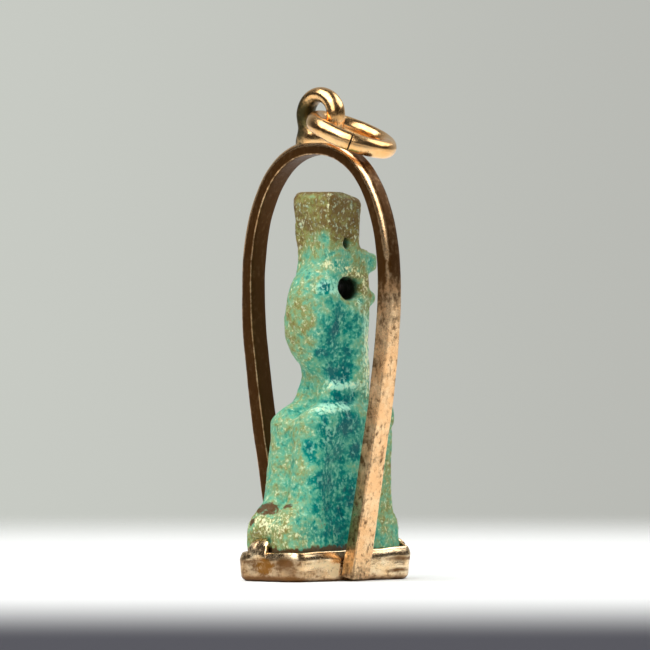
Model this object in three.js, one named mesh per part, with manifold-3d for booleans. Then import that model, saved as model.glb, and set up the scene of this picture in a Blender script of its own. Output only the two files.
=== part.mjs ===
// A worn faience amulet of a seated figure, standing in a gold tray under a gold hanging arch.
// Millimetres, +Z up. The origin is the middle of the tray's flat underside, where it stands.
// The figure faces -Y, and the arch stands across it, in a plane along X.

import * as THREE from 'three';
import { mergeVertices } from 'three/addons/utils/BufferGeometryUtils.js';
import Module from 'manifold-3d';

// Driving dimensions: the faience figure
const FIGURE_WIDTH = 4.16; // across the foot, along X
const FIGURE_DEPTH = 9.4; // toe to heel of the foot, along Y
const FIGURE_HEIGHT = 22.4; // underside of the foot to the flat top of the crown
const FIGURE_CORNER = 0.6; // upright corners of the foot
const BORE_WIDTH = 1.7; // the worn hanging bore, along Y
const BORE_TALL = 1.42; // the same bore, along Z
const PIT_WIDTH = 0.6; // the firing pit in the crown's side, along Y
const PIT_TALL = 0.8; // the same pit, along Z
const PIT_DEPTH = 0.7;

// Driving dimensions: the gold tray and its two claws
const SEAT_GAP = 0.02; // under the figure
const SIDE_GAP = 0.04; // between the foot and the tray's walls
const TRAY_WALL = 0.34;
const TRAY_FLOOR = 0.4;
const TRAY_HEIGHT = 1.66;
const TRAY_FLARE = 0.1; // how far the walls lean out from floor to rim
const TRAY_ROUNDING = 0.26; // lower outside edge
const CLAW_WIDTH = 1.6;
const CLAW_RISE = 0.62; // above the rim
const CLAW_THICKNESS = 0.32;
const CLAW_GRIP = 0.4; // how far a claw's tip is bent in over the foot
const TOE_CLAW_X = -0.6; // the claws were set by eye, off the middle
const HEEL_CLAW_X = 1.0;

// Driving dimensions: the arch of flat gold strip
const ARCH_SPREAD = 12.4; // outside width at its widest
const ARCH_HEADROOM = 2.2; // crown top to the underside of the arch
const ARCH_Y = -0.35; // plane of the arch
const STRIP_THICKNESS = 0.95;
const APEX_THICKNESS = 0.85;
const STRIP_WIDTH = 1.26;
const FOOT_STRIP_WIDTH = 1.5;
const STRIP_ROUNDING = 0.24;
const SOLDER_GAP = 0.02;
const ARCH_FOOT_LIFT = 0.12; // the strip ends this far above the underside
const FOOT_BITE = 0.1; // how deep the tray's wall is let into the strip's foot

// Driving dimensions: the loop on the apex and the jump ring in it
const LOOP_RADIUS = 1.25; // to the middle of its wire
const LOOP_WIRE = 0.9;
const LOOP_SUNK = 0.27; // filed off where it meets the arch
const RING_RADIUS = 2.25;
const RING_WIRE = 1.1;
const RING_SEAM = 0.05; // the saw cut
const RING_SEAM_AT = -60; // degrees round the ring from its far side
const RING_DIP = 23; // degrees, leaning down over the arch's +X shoulder
const RING_TURN = 15; // degrees, swung back about the loop

// How finely the curved forms are cut
const FIGURE_LEVELS = 60;
const FIGURE_RAYS = 48;
const STRIP_STATIONS = 30; // for each half of the arch
const WIRE_SIDES = 12;

// Worked out from them
const figureBase = TRAY_FLOOR + SEAT_GAP;
const figureTop = figureBase + FIGURE_HEIGHT;
const cavity = {
  x: FIGURE_WIDTH / 2 + SIDE_GAP,
  y: FIGURE_DEPTH / 2 + SIDE_GAP,
  corner: FIGURE_CORNER + SIDE_GAP,
};
const trayOutside = {
  x: cavity.x + TRAY_WALL,
  y: cavity.y + TRAY_WALL,
  corner: cavity.corner + TRAY_WALL,
};
const archTop = figureTop + ARCH_HEADROOM + APEX_THICKNESS;
const archBelly = archTop * 0.66; // height at which the arch is widest
const archFootOutside = trayOutside.x + STRIP_THICKNESS - FOOT_BITE;

const wasm = await Module();
wasm.setup();

const radians = THREE.MathUtils.degToRad;
const clamp01 = (value) => THREE.MathUtils.clamp(value, 0, 1);

// Closed geometry through a row of rings that all have the same number of points
function loft(rings) {
  const count = rings[0].length;
  const points = rings.flat();
  const index = [];
  for (let level = 0; level < rings.length - 1; level += 1) {
    for (let i = 0; i < count; i += 1) {
      const a = level * count + i;
      const b = level * count + ((i + 1) % count);
      index.push(a, b, a + count, b, b + count, a + count);
    }
  }
  const last = (rings.length - 1) * count;
  const middle = (ring) => ring.reduce((sum, p) => sum.add(p), new THREE.Vector3()).divideScalar(count);
  points.push(middle(rings[0]), middle(rings[rings.length - 1]));
  for (let i = 0; i < count; i += 1) {
    const next = (i + 1) % count;
    index.push(points.length - 2, next, i);
    index.push(points.length - 1, last + i, last + next);
  }
  const geometry = new THREE.BufferGeometry().setFromPoints(points);
  geometry.setIndex(index);
  return geometry;
}

// A closed geometry as a solid that can be joined and cut
function solid(geometry) {
  const bare = geometry.clone();
  bare.deleteAttribute('normal');
  bare.deleteAttribute('uv');
  const merged = mergeVertices(bare, 1e-5);
  return new wasm.Manifold(new wasm.Mesh({
    numProp: 3,
    vertProperties: new Float32Array(merged.attributes.position.array),
    triVerts: new Uint32Array(merged.index.array),
  }));
}

// A solid back as geometry, with flat facets
function geometryOf(body) {
  const mesh = body.getMesh();
  const geometry = new THREE.BufferGeometry();
  geometry.setAttribute('position', new THREE.BufferAttribute(mesh.vertProperties, mesh.numProp));
  geometry.setIndex(new THREE.BufferAttribute(mesh.triVerts, 1));
  geometry.computeVertexNormals();
  return geometry;
}

// A rectangle with round corners, anticlockwise, at height z
function roundedOutline(halfX, halfY, corner, z, steps = 6) {
  const points = [];
  for (let quarter = 0; quarter < 4; quarter += 1) {
    const signX = quarter === 0 || quarter === 3 ? 1 : -1;
    const signY = quarter < 2 ? 1 : -1;
    for (let step = 0; step <= steps; step += 1) {
      const angle = (quarter + step / steps) * Math.PI / 2;
      const x = signX * (halfX - corner) + corner * Math.cos(angle);
      const y = signY * (halfY - corner) + corner * Math.sin(angle);
      points.push(new THREE.Vector3(x, y, z));
    }
  }
  return points;
}

// The carved figure

// The proportions below are drawn in a block of this size, and stretched to the real figure
const BLOCK = new THREE.Vector3(4.16, 9.4, 22.4);

// Signed distance to a box with round edges
function boxForm(centre, half, rounding) {
  return (p) => {
    const x = Math.abs(p.x - centre[0]) - half[0] + rounding;
    const y = Math.abs(p.y - centre[1]) - half[1] + rounding;
    const z = Math.abs(p.z - centre[2]) - half[2] + rounding;
    const outside = Math.hypot(Math.max(x, 0), Math.max(y, 0), Math.max(z, 0));
    return outside + Math.min(Math.max(x, y, z), 0) - rounding;
  };
}

// Nearly the signed distance to an ellipsoid
function eggForm(centre, radii) {
  return (p) => {
    const offset = [p.x - centre[0], p.y - centre[1], p.z - centre[2]];
    const near = Math.hypot(...offset.map((value, axis) => value / radii[axis]));
    const slope = Math.hypot(...offset.map((value, axis) => value / radii[axis] ** 2));
    return slope > 0 ? near * (near - 1) / slope : -Math.min(...radii);
  };
}

// Signed distance to a limb, round at both ends and tapering between them
function limbForm(from, to, radiusFrom, radiusTo) {
  const start = new THREE.Vector3(...from);
  const along = new THREE.Vector3(...to).sub(start);
  const offset = new THREE.Vector3();
  return (p) => {
    offset.copy(p).sub(start);
    const share = clamp01(offset.dot(along) / along.lengthSq());
    return offset.addScaledVector(along, -share).length() - (radiusFrom + (radiusTo - radiusFrom) * share);
  };
}

// The same form on both sides of the figure
function bothSides(form) {
  const mirrored = new THREE.Vector3();
  return (p) => form(mirrored.set(Math.abs(p.x), p.y, p.z));
}

// Joins two distances with a soft hollow of the given size between the forms
function blend(a, b, size) {
  const share = clamp01(0.5 + 0.5 * (b - a) / size);
  return b + (a - b) * share - size * share * (1 - share);
}

// What stands out: each form, and how softly it runs into the ones before it
const RAISED = [
  // the low plinth under throne and feet
  [boxForm([0, -0.1, 0.75], [2.04, 4.5, 0.85], 0.3), 0.1],
  // footstool and feet, one rounded lump
  [boxForm([0, -2.66, 1.2], [1.99, 2.1, 1.95], 0.45), 0.2],
  [bothSides(boxForm([0.94, -2.68, 2.0], [1.02, 1.92, 2.12], 1.0)), 0.5],
  // throne, a little wider at the foot, and its low back
  [boxForm([0, 1.4, 4.9], [1.96, 2.48, 4.7], 0.35), 0.3],
  [boxForm([0, 1.65, 1.5], [1.98, 2.82, 1.8], 0.4), 0.5],
  [boxForm([0, 3.4, 9.3], [1.88, 0.72, 0.85], 0.3), 0.3],
  // shins under a close robe, and the lap
  [bothSides(limbForm([0.95, -1.75, 8.2], [0.95, -2.5, 3.3], 1.12, 1.26)), 0.4],
  [bothSides(boxForm([1.0, -1.2, 7.2], [0.96, 1.66, 2.1], 0.45)), 0.35],
  [bothSides(limbForm([0.98, -1.85, 8.75], [0.98, 0.4, 9.5], 1.0, 1.05)), 0.35],
  // waist, bust and back pillar
  [boxForm([0, 0.75, 12.4], [1.5, 1.62, 4.6], 0.8), 0.5],
  [eggForm([0, -0.3, 15.0], [2.0, 2.25, 3.4]), 0.5],
  [boxForm([0, 1.5, 13.4], [1.42, 0.95, 6.2], 0.35), 0.3],
  // upper arms down the sides, forearms resting on the lap
  [bothSides(limbForm([1.4, 0.75, 16.0], [1.46, 1.2, 11.7], 0.62, 0.58)), 0.45],
  [bothSides(limbForm([1.46, 1.15, 11.3], [0.95, -0.85, 10.45], 0.52, 0.42)), 0.4],
  // heavy wig on the shoulders, and the worn face between its lappets
  [boxForm([0, 0.75, 17.6], [1.5, 1.45, 1.75], 0.5), 0.35],
  [bothSides(limbForm([1.0, -0.45, 18.4], [1.0, -1.05, 15.6], 0.48, 0.42)), 0.3],
  [eggForm([0, -0.45, 18.35], [0.78, 0.62, 1.05]), 0.2],
  // two lumps of the worn lug behind the neck, above and below the bore
  [boxForm([0, 2.15, 18.3], [1.34, 1.05, 0.72], 0.32), 0.1],
  [boxForm([0, 2.15, 16.2], [1.32, 0.95, 0.52], 0.38), 0.15],
  // flat-topped crown, flaring upwards
  [boxForm([0, 0.2, 19.9], [1.34, 1.12, 1.6], 0.35), 0.35],
  [boxForm([0, 0.18, 20.95], [1.5, 1.36, 1.43], 0.32), 0.5],
];

// What is hollowed: where the glaze lies thick, between the raised forms
const HOLLOWED = [
  // between the shins, and between each shin and the throne
  [boxForm([0, -3.7, 6.4], [0.08, 0.55, 2.6], 0.06), 0.3],
  [bothSides(eggForm([2.45, -0.75, 5.2], [0.62, 1.1, 4.4])), 0.5],
  // between bust and upper arm, and between forearm and lap
  [bothSides(eggForm([2.15, -0.35, 13.6], [0.6, 0.7, 2.6])), 0.5],
  [bothSides(eggForm([2.3, -0.6, 10.25], [0.7, 1.5, 0.4])), 0.4],
  // the chipped top corner at the back of the crown
  [eggForm([1.75, 1.8, 22.6], [0.75, 0.85, 0.8]), 0.3],
];

// Slow waves of wear over the whole surface
function wear(p) {
  const broad = Math.sin(1.3 * p.x + 0.9 * p.z + 0.4) * Math.sin(1.1 * p.y - 0.6 * p.z);
  const fine = Math.sin(2.9 * p.y + 1.7 * p.z) * Math.sin(2.3 * p.x - 2.1 * p.z + 1.2);
  return 0.045 * broad + 0.03 * fine;
}

// Signed distance to the carved figure, in the block it is drawn in
function carving(p) {
  let distance = RAISED.reduce((sum, [form, size]) => blend(sum, form(p), size), BLOCK.z);
  for (const [form, size] of HOLLOWED) distance = -blend(-distance, form(p), size);
  return distance + wear(p);
}

// Distance from the upright axis of a level to the surface along one ray
function reach(axis, direction, limit) {
  const p = new THREE.Vector3();
  const at = (distance) => carving(p.copy(axis).addScaledVector(direction, distance));
  const step = 0.1;
  let outer = limit;
  while (outer > step && at(outer - step) > 0) outer -= step;
  let inner = Math.max(outer - step, 0);
  for (let round = 0; round < 12; round += 1) {
    const between = (inner + outer) / 2;
    if (at(between) > 0) outer = between;
    else inner = between;
  }
  return inner;
}

// Distance along one ray to the edge of the foot's outline, where the tray holds it
function footReach(axis, direction) {
  const halfX = BLOCK.x / 2;
  const halfY = BLOCK.y / 2;
  const inside = (distance) => {
    const x = Math.abs(axis.x + direction.x * distance) - halfX + FIGURE_CORNER;
    const y = Math.abs(axis.y + direction.y * distance) - halfY + FIGURE_CORNER;
    return Math.hypot(Math.max(x, 0), Math.max(y, 0)) + Math.min(Math.max(x, y), 0) <= FIGURE_CORNER;
  };
  let low = 0;
  let high = BLOCK.y;
  for (let round = 0; round < 24; round += 1) {
    const between = (low + high) / 2;
    if (inside(between)) low = between;
    else high = between;
  }
  return low;
}

// One level of the figure, cut by rays that crowd towards its long ends
function figureRing(height) {
  const low = 1 - clamp01((height - 9) / 3);
  const axis = new THREE.Vector3(0, 0.55 - 0.55 * low, height);
  const spread = 1.05 + 0.95 * low;
  const held = height * FIGURE_HEIGHT / BLOCK.z + figureBase < TRAY_HEIGHT + SIDE_GAP;
  const ring = [];
  for (let i = 0; i < FIGURE_RAYS; i += 1) {
    const turn = i / FIGURE_RAYS * Math.PI * 2;
    const direction = new THREE.Vector3(Math.cos(turn), spread * Math.sin(turn), 0).normalize();
    let distance = reach(axis, direction, BLOCK.y);
    if (held) distance = Math.min(distance, footReach(axis, direction));
    ring.push(axis.clone().addScaledVector(direction, distance));
  }
  return ring;
}

// A lying oval rod through the figure, or part of the way in
function rod(widthY, tallZ, length, centre) {
  const rodGeometry = new THREE.CylinderGeometry(0.5, 0.5, length, 20);
  rodGeometry.rotateZ(Math.PI / 2);
  rodGeometry.scale(1, widthY, tallZ);
  rodGeometry.translate(...centre);
  return solid(rodGeometry);
}

function figureGeometry() {
  const rings = [];
  const edge = 0.01;
  for (let level = 0; level < FIGURE_LEVELS; level += 1) {
    const share = level / (FIGURE_LEVELS - 1);
    rings.push(figureRing(edge + share * (BLOCK.z - 2 * edge)));
  }
  rings[0].forEach((p) => p.setZ(0));
  rings[FIGURE_LEVELS - 1].forEach((p) => p.setZ(BLOCK.z));
  const stretch = new THREE.Vector3(FIGURE_WIDTH, FIGURE_DEPTH, FIGURE_HEIGHT).divide(BLOCK);
  const carved = loft(rings);
  carved.scale(stretch.x, stretch.y, stretch.z);
  const boreCentre = new THREE.Vector3(0, 0.62, 16.72).multiply(stretch);
  const pitCentre = new THREE.Vector3(1.42, 0.4, 19.4).multiply(stretch);
  const body = solid(carved)
    .subtract(rod(BORE_WIDTH, BORE_TALL, FIGURE_WIDTH * 2, boreCentre.toArray()))
    .subtract(rod(PIT_WIDTH, PIT_TALL, PIT_DEPTH * 2, pitCentre.toArray()))
    .translate([0, 0, figureBase])
    .subtract(solid(clawRoom(-1, TOE_CLAW_X)))
    .subtract(solid(clawRoom(1, HEEL_CLAW_X)));
  return geometryOf(body);
}

// The tray

// The outside of the tray, grown by a margin
function trayOuter(margin = 0) {
  const steps = 3;
  const rings = [];
  for (let step = 0; step <= steps; step += 1) {
    const turn = step / steps * Math.PI / 2;
    const inset = TRAY_ROUNDING * (1 - Math.sin(turn)) - margin;
    const z = TRAY_ROUNDING * (1 - Math.cos(turn)) - margin;
    rings.push(roundedOutline(trayOutside.x - inset, trayOutside.y - inset, trayOutside.corner - inset, z));
  }
  const grown = TRAY_FLARE + margin;
  const { x, y, corner } = trayOutside;
  rings.push(roundedOutline(x + grown, y + grown, corner + grown, TRAY_HEIGHT + margin));
  return loft(rings);
}

// The room inside the tray, open at the top
function trayInner() {
  const rimZ = TRAY_HEIGHT + TRAY_WALL;
  const lean = TRAY_FLARE * (rimZ - TRAY_FLOOR) / (TRAY_HEIGHT - TRAY_FLOOR);
  const { x, y, corner } = cavity;
  return loft([
    roundedOutline(x, y, corner, TRAY_FLOOR),
    roundedOutline(x + lean, y + lean, corner + lean, rimZ),
  ]);
}

// A claw: a tongue of the end wall that is bent in over the foot. End is -1 at the toe, 1 at the heel
function claw(end, x) {
  const wallY = trayOutside.y + TRAY_FLARE - CLAW_THICKNESS;
  const rings = [];
  const steps = 5;
  for (let step = 0; step <= steps; step += 1) {
    const turn = step / steps * Math.PI / 2;
    const y = wallY - CLAW_GRIP * (1 - Math.cos(turn));
    const z = TRAY_HEIGHT - CLAW_THICKNESS + (CLAW_RISE + CLAW_THICKNESS / 2) * Math.sin(turn);
    const narrow = 0.12 * step / steps;
    rings.push(clawSection(x, end * y, z, CLAW_WIDTH / 2 - narrow, turn, end));
  }
  return loft(rings);
}

// One flat section across a claw, square to its bend
function clawSection(x, y, z, half, turn, end) {
  const outward = end * Math.cos(turn) * CLAW_THICKNESS;
  const upward = Math.sin(turn) * CLAW_THICKNESS;
  const corners = [
    new THREE.Vector3(x - half, y, z),
    new THREE.Vector3(x + half, y, z),
    new THREE.Vector3(x + half, y + outward, z + upward),
    new THREE.Vector3(x - half, y + outward, z + upward),
  ];
  return end > 0 ? corners : corners.reverse();
}

// The room that a claw needs in the foot
function clawRoom(end, x) {
  const outside = trayOutside.y + TRAY_FLARE;
  const inside = outside - CLAW_THICKNESS - CLAW_GRIP - SIDE_GAP;
  const low = TRAY_HEIGHT - CLAW_THICKNESS - SIDE_GAP;
  const high = TRAY_HEIGHT + CLAW_RISE + CLAW_THICKNESS + SIDE_GAP;
  const room = new THREE.BoxGeometry(CLAW_WIDTH + 2 * SIDE_GAP, outside - inside, high - low);
  room.translate(x, end * (inside + outside) / 2, (low + high) / 2);
  return room;
}

function trayGeometry() {
  const body = solid(trayOuter())
    .subtract(solid(trayInner()))
    .add(solid(claw(-1, TOE_CLAW_X)))
    .add(solid(claw(1, HEEL_CLAW_X)));
  return geometryOf(body);
}

// The arch

// The outside line of one half of the arch, from the foot (share 0) to the apex (share 1)
function archLine(share) {
  const half = ARCH_SPREAD / 2;
  const legShare = 0.56;
  if (share < legShare) {
    const legHeight = archBelly - ARCH_FOOT_LIFT;
    const leg = new THREE.CubicBezierCurve(
      new THREE.Vector2(archFootOutside, ARCH_FOOT_LIFT),
      new THREE.Vector2(THREE.MathUtils.lerp(archFootOutside, half, 0.66), ARCH_FOOT_LIFT + legHeight * 0.535),
      new THREE.Vector2(half, archBelly - legHeight * 0.2),
      new THREE.Vector2(half, archBelly),
    );
    return leg.getPoint(share / legShare);
  }
  const turn = (share - legShare) / (1 - legShare) * Math.PI / 2;
  const fullness = 2 / 2.25; // a touch fuller than an ellipse
  const x = half * Math.abs(Math.cos(turn)) ** fullness;
  const z = archBelly + (archTop - archBelly) * Math.sin(turn) ** fullness;
  return new THREE.Vector2(share === 1 ? 0 : x, z);
}

// Station along the whole arch, from the foot at -X over the apex to the foot at +X
function archStation(index) {
  const share = 1 - Math.abs(index) / STRIP_STATIONS;
  const side = Math.sign(index);
  const line = archLine(share);
  return new THREE.Vector2(side === 0 ? 0 : side * line.x, line.y);
}

// A rectangle with round edges, square to the strip, one face on the outside line
function stripSection(index) {
  const here = archStation(index);
  const before = archStation(Math.max(index - 1, -STRIP_STATIONS));
  const after = archStation(Math.min(index + 1, STRIP_STATIONS));
  const along = after.sub(before).normalize();
  const inward = new THREE.Vector2(along.y, -along.x);
  const share = Math.abs(index) / STRIP_STATIONS;
  const thickness = THREE.MathUtils.lerp(APEX_THICKNESS, STRIP_THICKNESS, clamp01(share * 3));
  const width = THREE.MathUtils.lerp(STRIP_WIDTH, FOOT_STRIP_WIDTH, clamp01(share * 6 - 5));
  const outline = roundedOutline(thickness / 2, width / 2, STRIP_ROUNDING, 0, 2);
  return outline.map((p) => {
    const depth = thickness / 2 + p.x;
    return new THREE.Vector3(here.x + inward.x * depth, ARCH_Y + p.y, here.y + inward.y * depth);
  });
}

function archSolid() {
  const rings = [];
  for (let index = -STRIP_STATIONS; index <= STRIP_STATIONS; index += 1) rings.push(stripSection(index));
  return solid(loft(rings)).subtract(solid(trayOuter(SOLDER_GAP)));
}

// The loop and the jump ring

// A torus whose foot is filed flat to stand on the apex
function loopSolid() {
  const centreZ = archTop - LOOP_SUNK + LOOP_WIRE / 2 + LOOP_RADIUS;
  const torus = new THREE.TorusGeometry(LOOP_RADIUS, LOOP_WIRE / 2, WIRE_SIDES, 28);
  torus.rotateX(Math.PI / 2);
  torus.translate(0, ARCH_Y, centreZ);
  const filed = new THREE.BoxGeometry(LOOP_RADIUS * 4, LOOP_WIRE * 3, LOOP_WIRE * 2);
  filed.translate(0, ARCH_Y, archTop + SOLDER_GAP - LOOP_WIRE);
  return solid(torus).subtract(solid(filed));
}

// Round wire bent to a ring and cut through once
function jumpRingGeometry() {
  const stations = 40;
  const seamAngle = RING_SEAM / RING_RADIUS;
  const rings = [];
  for (let index = 0; index <= stations; index += 1) {
    const turn = radians(RING_SEAM_AT) + seamAngle / 2 + index / stations * (Math.PI * 2 - seamAngle);
    const ring = [];
    for (let side = 0; side < WIRE_SIDES; side += 1) {
      const angle = side / WIRE_SIDES * Math.PI * 2;
      const radius = RING_RADIUS + RING_WIRE / 2 * Math.cos(angle);
      const height = RING_WIRE / 2 * Math.sin(angle);
      ring.push(new THREE.Vector3(radius * Math.cos(turn), radius * Math.sin(turn), height));
    }
    rings.push(ring.reverse());
  }
  return loft(rings);
}

function material(colour, roughness, metalness) {
  return new THREE.MeshStandardMaterial({ color: colour, roughness, metalness });
}

function named(name, geometry, finish) {
  const mesh = new THREE.Mesh(geometry, finish);
  mesh.name = name;
  return mesh;
}

const faience = material(0x6fae9c, 0.55, 0);
const oldGold = material(0xa9805a, 0.35, 0.9);
const brightGold = material(0xd9a06a, 0.22, 0.95);

const amulet = new THREE.Group();
amulet.add(named('faience_figure', figureGeometry(), faience));
amulet.add(named('gold_tray', trayGeometry(), oldGold));
amulet.add(named('gold_arch', geometryOf(archSolid()), oldGold));
amulet.add(named('hanging_loop', geometryOf(loopSolid()), brightGold));

// The jump ring hangs by its -X end in the loop and leans on the arch's shoulder
const ringSeat = new THREE.Group();
const loopHoleBottom = archTop - LOOP_SUNK + LOOP_WIRE;
ringSeat.position.set(0, ARCH_Y, loopHoleBottom + RING_WIRE / 2 + SOLDER_GAP);
ringSeat.rotation.set(0, radians(RING_DIP), radians(RING_TURN), 'ZYX');
const jumpRing = named('jump_ring', jumpRingGeometry(), brightGold);
jumpRing.position.set(RING_RADIUS, 0, 0);
ringSeat.add(jumpRing);
amulet.add(ringSeat);

export default amulet;
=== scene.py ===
"""Dresses a worn faience amulet in its gold pendant mount for a close studio photograph.

The classes below hold their sizes in millimetres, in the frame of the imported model: +Z up, the
figure facing -Y, the arch standing across it along X. Meshes are made in metres at the very end.
"""

from __future__ import annotations

import logging
import math
from dataclasses import dataclass, field
from enum import Enum
from typing import Any, Iterable, Sequence, Union

import bpy
import numpy as np
from mathutils import Matrix, Vector, noise


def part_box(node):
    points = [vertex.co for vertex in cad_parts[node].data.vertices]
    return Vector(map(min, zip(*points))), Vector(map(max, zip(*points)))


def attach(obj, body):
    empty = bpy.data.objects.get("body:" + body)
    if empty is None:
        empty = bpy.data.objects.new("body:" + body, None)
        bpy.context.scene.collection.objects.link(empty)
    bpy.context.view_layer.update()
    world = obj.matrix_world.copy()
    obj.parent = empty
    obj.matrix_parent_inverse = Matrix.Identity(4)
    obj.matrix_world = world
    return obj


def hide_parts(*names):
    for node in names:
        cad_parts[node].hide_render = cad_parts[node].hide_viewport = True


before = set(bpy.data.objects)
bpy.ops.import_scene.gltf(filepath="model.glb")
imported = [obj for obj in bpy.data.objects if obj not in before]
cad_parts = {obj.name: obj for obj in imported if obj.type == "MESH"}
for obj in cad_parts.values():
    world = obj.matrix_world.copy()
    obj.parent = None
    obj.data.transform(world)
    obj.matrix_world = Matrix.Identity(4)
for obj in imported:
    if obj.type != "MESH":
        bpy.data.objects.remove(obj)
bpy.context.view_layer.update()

LOG = logging.getLogger("amulet")
MM = 0.001
BODY = "root"
ARCH_PLANE_Y = -0.35
RING_GAP = 0.02

# Numbers of a Mix node's colour sockets
MIX_SHARE = 0
MIX_FIRST = 6
MIX_SECOND = 7
MIX_RESULT = 2

# How the layers of fractal noise follow each other
FRACTAL_DIMENSION = 0.8
FRACTAL_LACUNARITY = 2.1

Pair = tuple[float, float]
Triple = tuple[float, float, float]
Points = np.ndarray
Faces = list[tuple[int, ...]]
Links = tuple[Points, Points, Points]


class Slot(Enum):
    """Names of the material slots."""

    FAIENCE = "faience"
    OLD_GOLD = "old_gold"
    BRIGHT_GOLD = "bright_gold"


class Signal:
    """A socket of a node tree that takes part in arithmetic."""

    def __init__(self, graph: "Graph", socket: bpy.types.NodeSocket) -> None:
        """Wraps a socket of that graph."""
        self.graph = graph
        self.socket = socket

    def _math(self, operation: str, *values: "Number") -> "Signal":
        """Adds one Math node.

        Args:
            operation: the Math node's operation.
            values: its inputs, in order.

        Returns:
            The node's result.
        """
        return self.graph.node("ShaderNodeMath", {"operation": operation}, dict(enumerate(values)))

    def __add__(self, other: "Number") -> "Signal":
        """self + other."""
        return self._math("ADD", self, other)

    def __radd__(self, other: "Number") -> "Signal":
        """other + self."""
        return self._math("ADD", other, self)

    def __sub__(self, other: "Number") -> "Signal":
        """self - other."""
        return self._math("SUBTRACT", self, other)

    def __rsub__(self, other: "Number") -> "Signal":
        """other - self."""
        return self._math("SUBTRACT", other, self)

    def __mul__(self, other: "Number") -> "Signal":
        """self * other."""
        return self._math("MULTIPLY", self, other)

    def __rmul__(self, other: "Number") -> "Signal":
        """other * self."""
        return self._math("MULTIPLY", other, self)

    def between(self, low: float, high: float) -> "Signal":
        """Runs smoothly from 0 at low to 1 at high.

        Args:
            low: value that gives 0.
            high: value that gives 1.

        Returns:
            The eased and clamped value.
        """
        settings = {"interpolation_type": "SMOOTHSTEP"}
        inputs = {"Value": self, "From Min": low, "From Max": high, "To Min": 0.0, "To Max": 1.0}
        return self.graph.node("ShaderNodeMapRange", settings, inputs)


Number = Union[Signal, float]
Colour = Union[Signal, Triple]


class Graph:
    """The node tree of one material or of the world."""

    def __init__(self, tree: bpy.types.NodeTree) -> None:
        """Takes over a tree and empties it."""
        self.tree = tree
        self.tree.nodes.clear()

    def node(self, kind: str, settings: dict[str, Any], inputs: dict[Any, Any], output: Any = 0) -> Signal:
        """Adds any node.

        Args:
            kind: the node's type.
            settings: its properties; "stops" holds the stops of a colour ramp.
            inputs: values or signals by socket name or number.
            output: name or number of the socket to hand back.

        Returns:
            The chosen output.
        """
        made = self.tree.nodes.new(kind)
        for name, value in settings.items():
            if name == "stops":
                self._set_stops(made.color_ramp, value)
            else:
                setattr(made, name, value)
        for name, value in inputs.items():
            self._feed(made.inputs[name], value)
        return Signal(self, made.outputs[output] if made.outputs else made.inputs[0])

    def _feed(self, socket: bpy.types.NodeSocket, value: Any) -> None:
        """Links a signal to a socket, or sets the socket's own value.

        Args:
            socket: the input to feed.
            value: a signal, a number, a vector, or a colour of three numbers.
        """
        if isinstance(value, Signal):
            self.tree.links.new(value.socket, socket)
        elif socket.type == "RGBA" and len(value) == 3:
            socket.default_value = (*value, 1.0)
        else:
            socket.default_value = value

    @staticmethod
    def _set_stops(ramp: bpy.types.ColorRamp, stops: Sequence[tuple[float, Triple]]) -> None:
        """Gives a colour ramp its stops.

        Args:
            ramp: the ramp.
            stops: the position and colour of each stop, in order.
        """
        while len(ramp.elements) < len(stops):
            ramp.elements.new(1.0)
        for element, (position, colour) in zip(ramp.elements, stops):
            element.position = position
            element.color = (*colour, 1.0)

    def mix(self, share: Number, first: Colour, second: Colour) -> Signal:
        """Mixes two colours.

        Args:
            share: how much of the second one.
            first: colour at share 0.
            second: colour at share 1.

        Returns:
            The mixed colour.
        """
        inputs = {MIX_SHARE: share, MIX_FIRST: first, MIX_SECOND: second}
        return self.node("ShaderNodeMix", {"data_type": "RGBA"}, inputs, MIX_RESULT)

    def place(self, stretch: Triple = (1.0, 1.0, 1.0)) -> Signal:
        """Gives the point on the object in millimetres.

        Args:
            stretch: factor along each axis, under 1 to draw a pattern out.

        Returns:
            The scaled position.
        """
        position = self.node("ShaderNodeTexCoord", {}, {}, "Object")
        factor = tuple(value / MM for value in stretch)
        return self.node("ShaderNodeVectorMath", {"operation": "MULTIPLY"}, {0: position, 1: factor})

    def noise(self, place: Signal, scale: float, detail: float = 3.0, roughness: float = 0.55) -> Signal:
        """Adds cloudy noise.

        Args:
            place: where the noise is read.
            scale: lumps to the millimetre.
            detail: number of finer layers.
            roughness: strength of the finer layers.

        Returns:
            Values around 0.5.
        """
        inputs = {"Vector": place, "Scale": scale, "Detail": detail, "Roughness": roughness}
        return self.node("ShaderNodeTexNoise", {}, inputs, 0)

    def attribute(self, name: str) -> Signal:
        """Reads one of the mesh's own numbers."""
        return self.node("ShaderNodeAttribute", {"attribute_name": name}, {}, "Fac")

    def bump(self, height: Signal, distance: float, strength: float, below: Signal | None = None) -> Signal:
        """Adds a bump.

        Args:
            height: the height, from 0 to 1.
            distance: what a height of 1 stands for, in millimetres.
            strength: how much of it shows.
            below: another bump to add to.

        Returns:
            The bent normal.
        """
        inputs = {"Height": height, "Distance": distance * MM, "Strength": strength}
        if below is not None:
            inputs["Normal"] = below
        return self.node("ShaderNodeBump", {}, inputs)


def new_material(name: str) -> tuple[bpy.types.Material, Graph]:
    """Makes an empty material.

    Args:
        name: the material's name.

    Returns:
        The material and its graph.
    """
    material = bpy.data.materials.new(name)
    material.use_nodes = True
    return material, Graph(material.node_tree)


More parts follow.
